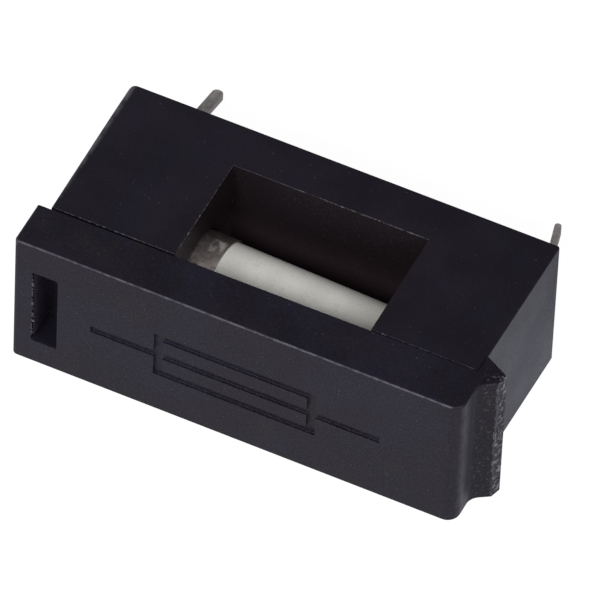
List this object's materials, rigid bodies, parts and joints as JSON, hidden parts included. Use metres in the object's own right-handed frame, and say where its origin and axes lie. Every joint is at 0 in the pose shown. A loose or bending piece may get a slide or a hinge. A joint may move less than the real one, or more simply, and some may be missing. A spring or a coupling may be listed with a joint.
{
  "type": "cartridge fuse holder",
  "caption": "Board-mounted holder for a small cartridge fuse: a base with spring clips and terminals, and a pull-out carrier with a finger lug.",
  "frame": {"origin": "on the face that rests on the circuit board, within 0.1 mm of half-way between the two terminal tips, and half-way across the width", "axes": "+Z away from the board, towards the pull-out carrier; X along the fuse, the finger lug is at -X; the inspection window faces -Y"},
  "size_m": [0.0292, 0.0098, 0.0196],
  "materials": {
    "housing_plastic": "fine-textured black moulded thermoplastic",
    "carrier_plastic": "fine-textured black moulded thermoplastic",
    "contact_metal": "tin-plated strip, dull",
    "tube_ceramic": "unglazed off-white ceramic",
    "cap_metal": "nickel-plated, tarnished and scuffed",
    "solder": "dull solder",
    "element_wire": "silver-plated wire",
    "quartz_sand": "fine quartz sand"
  },
  "bodies": {
    "base": {"base_housing": "housing_plastic", "contact_clip_left": "contact_metal", "contact_clip_right": "contact_metal"},
    "fuse": {"ceramic_tube": "tube_ceramic", "end_cap_left": "cap_metal", "end_cap_right": "cap_metal", "solder_left": "solder", "solder_right": "solder", "fuse_element": "element_wire", "sand_filler": "quartz_sand"},
    "carrier": {"fuse_carrier": "carrier_plastic"}
  },
  "joints": [
    {"name": "fuse_lift", "type": "slide", "parent": "base", "child": "fuse", "axis": [0, 0, 1], "range_m": [0, 0.012]},
    {"name": "carrier_lift", "type": "slide", "parent": "fuse", "child": "carrier", "axis": [0, 0, 1], "range_m": [0, 0.008]}
  ]
}
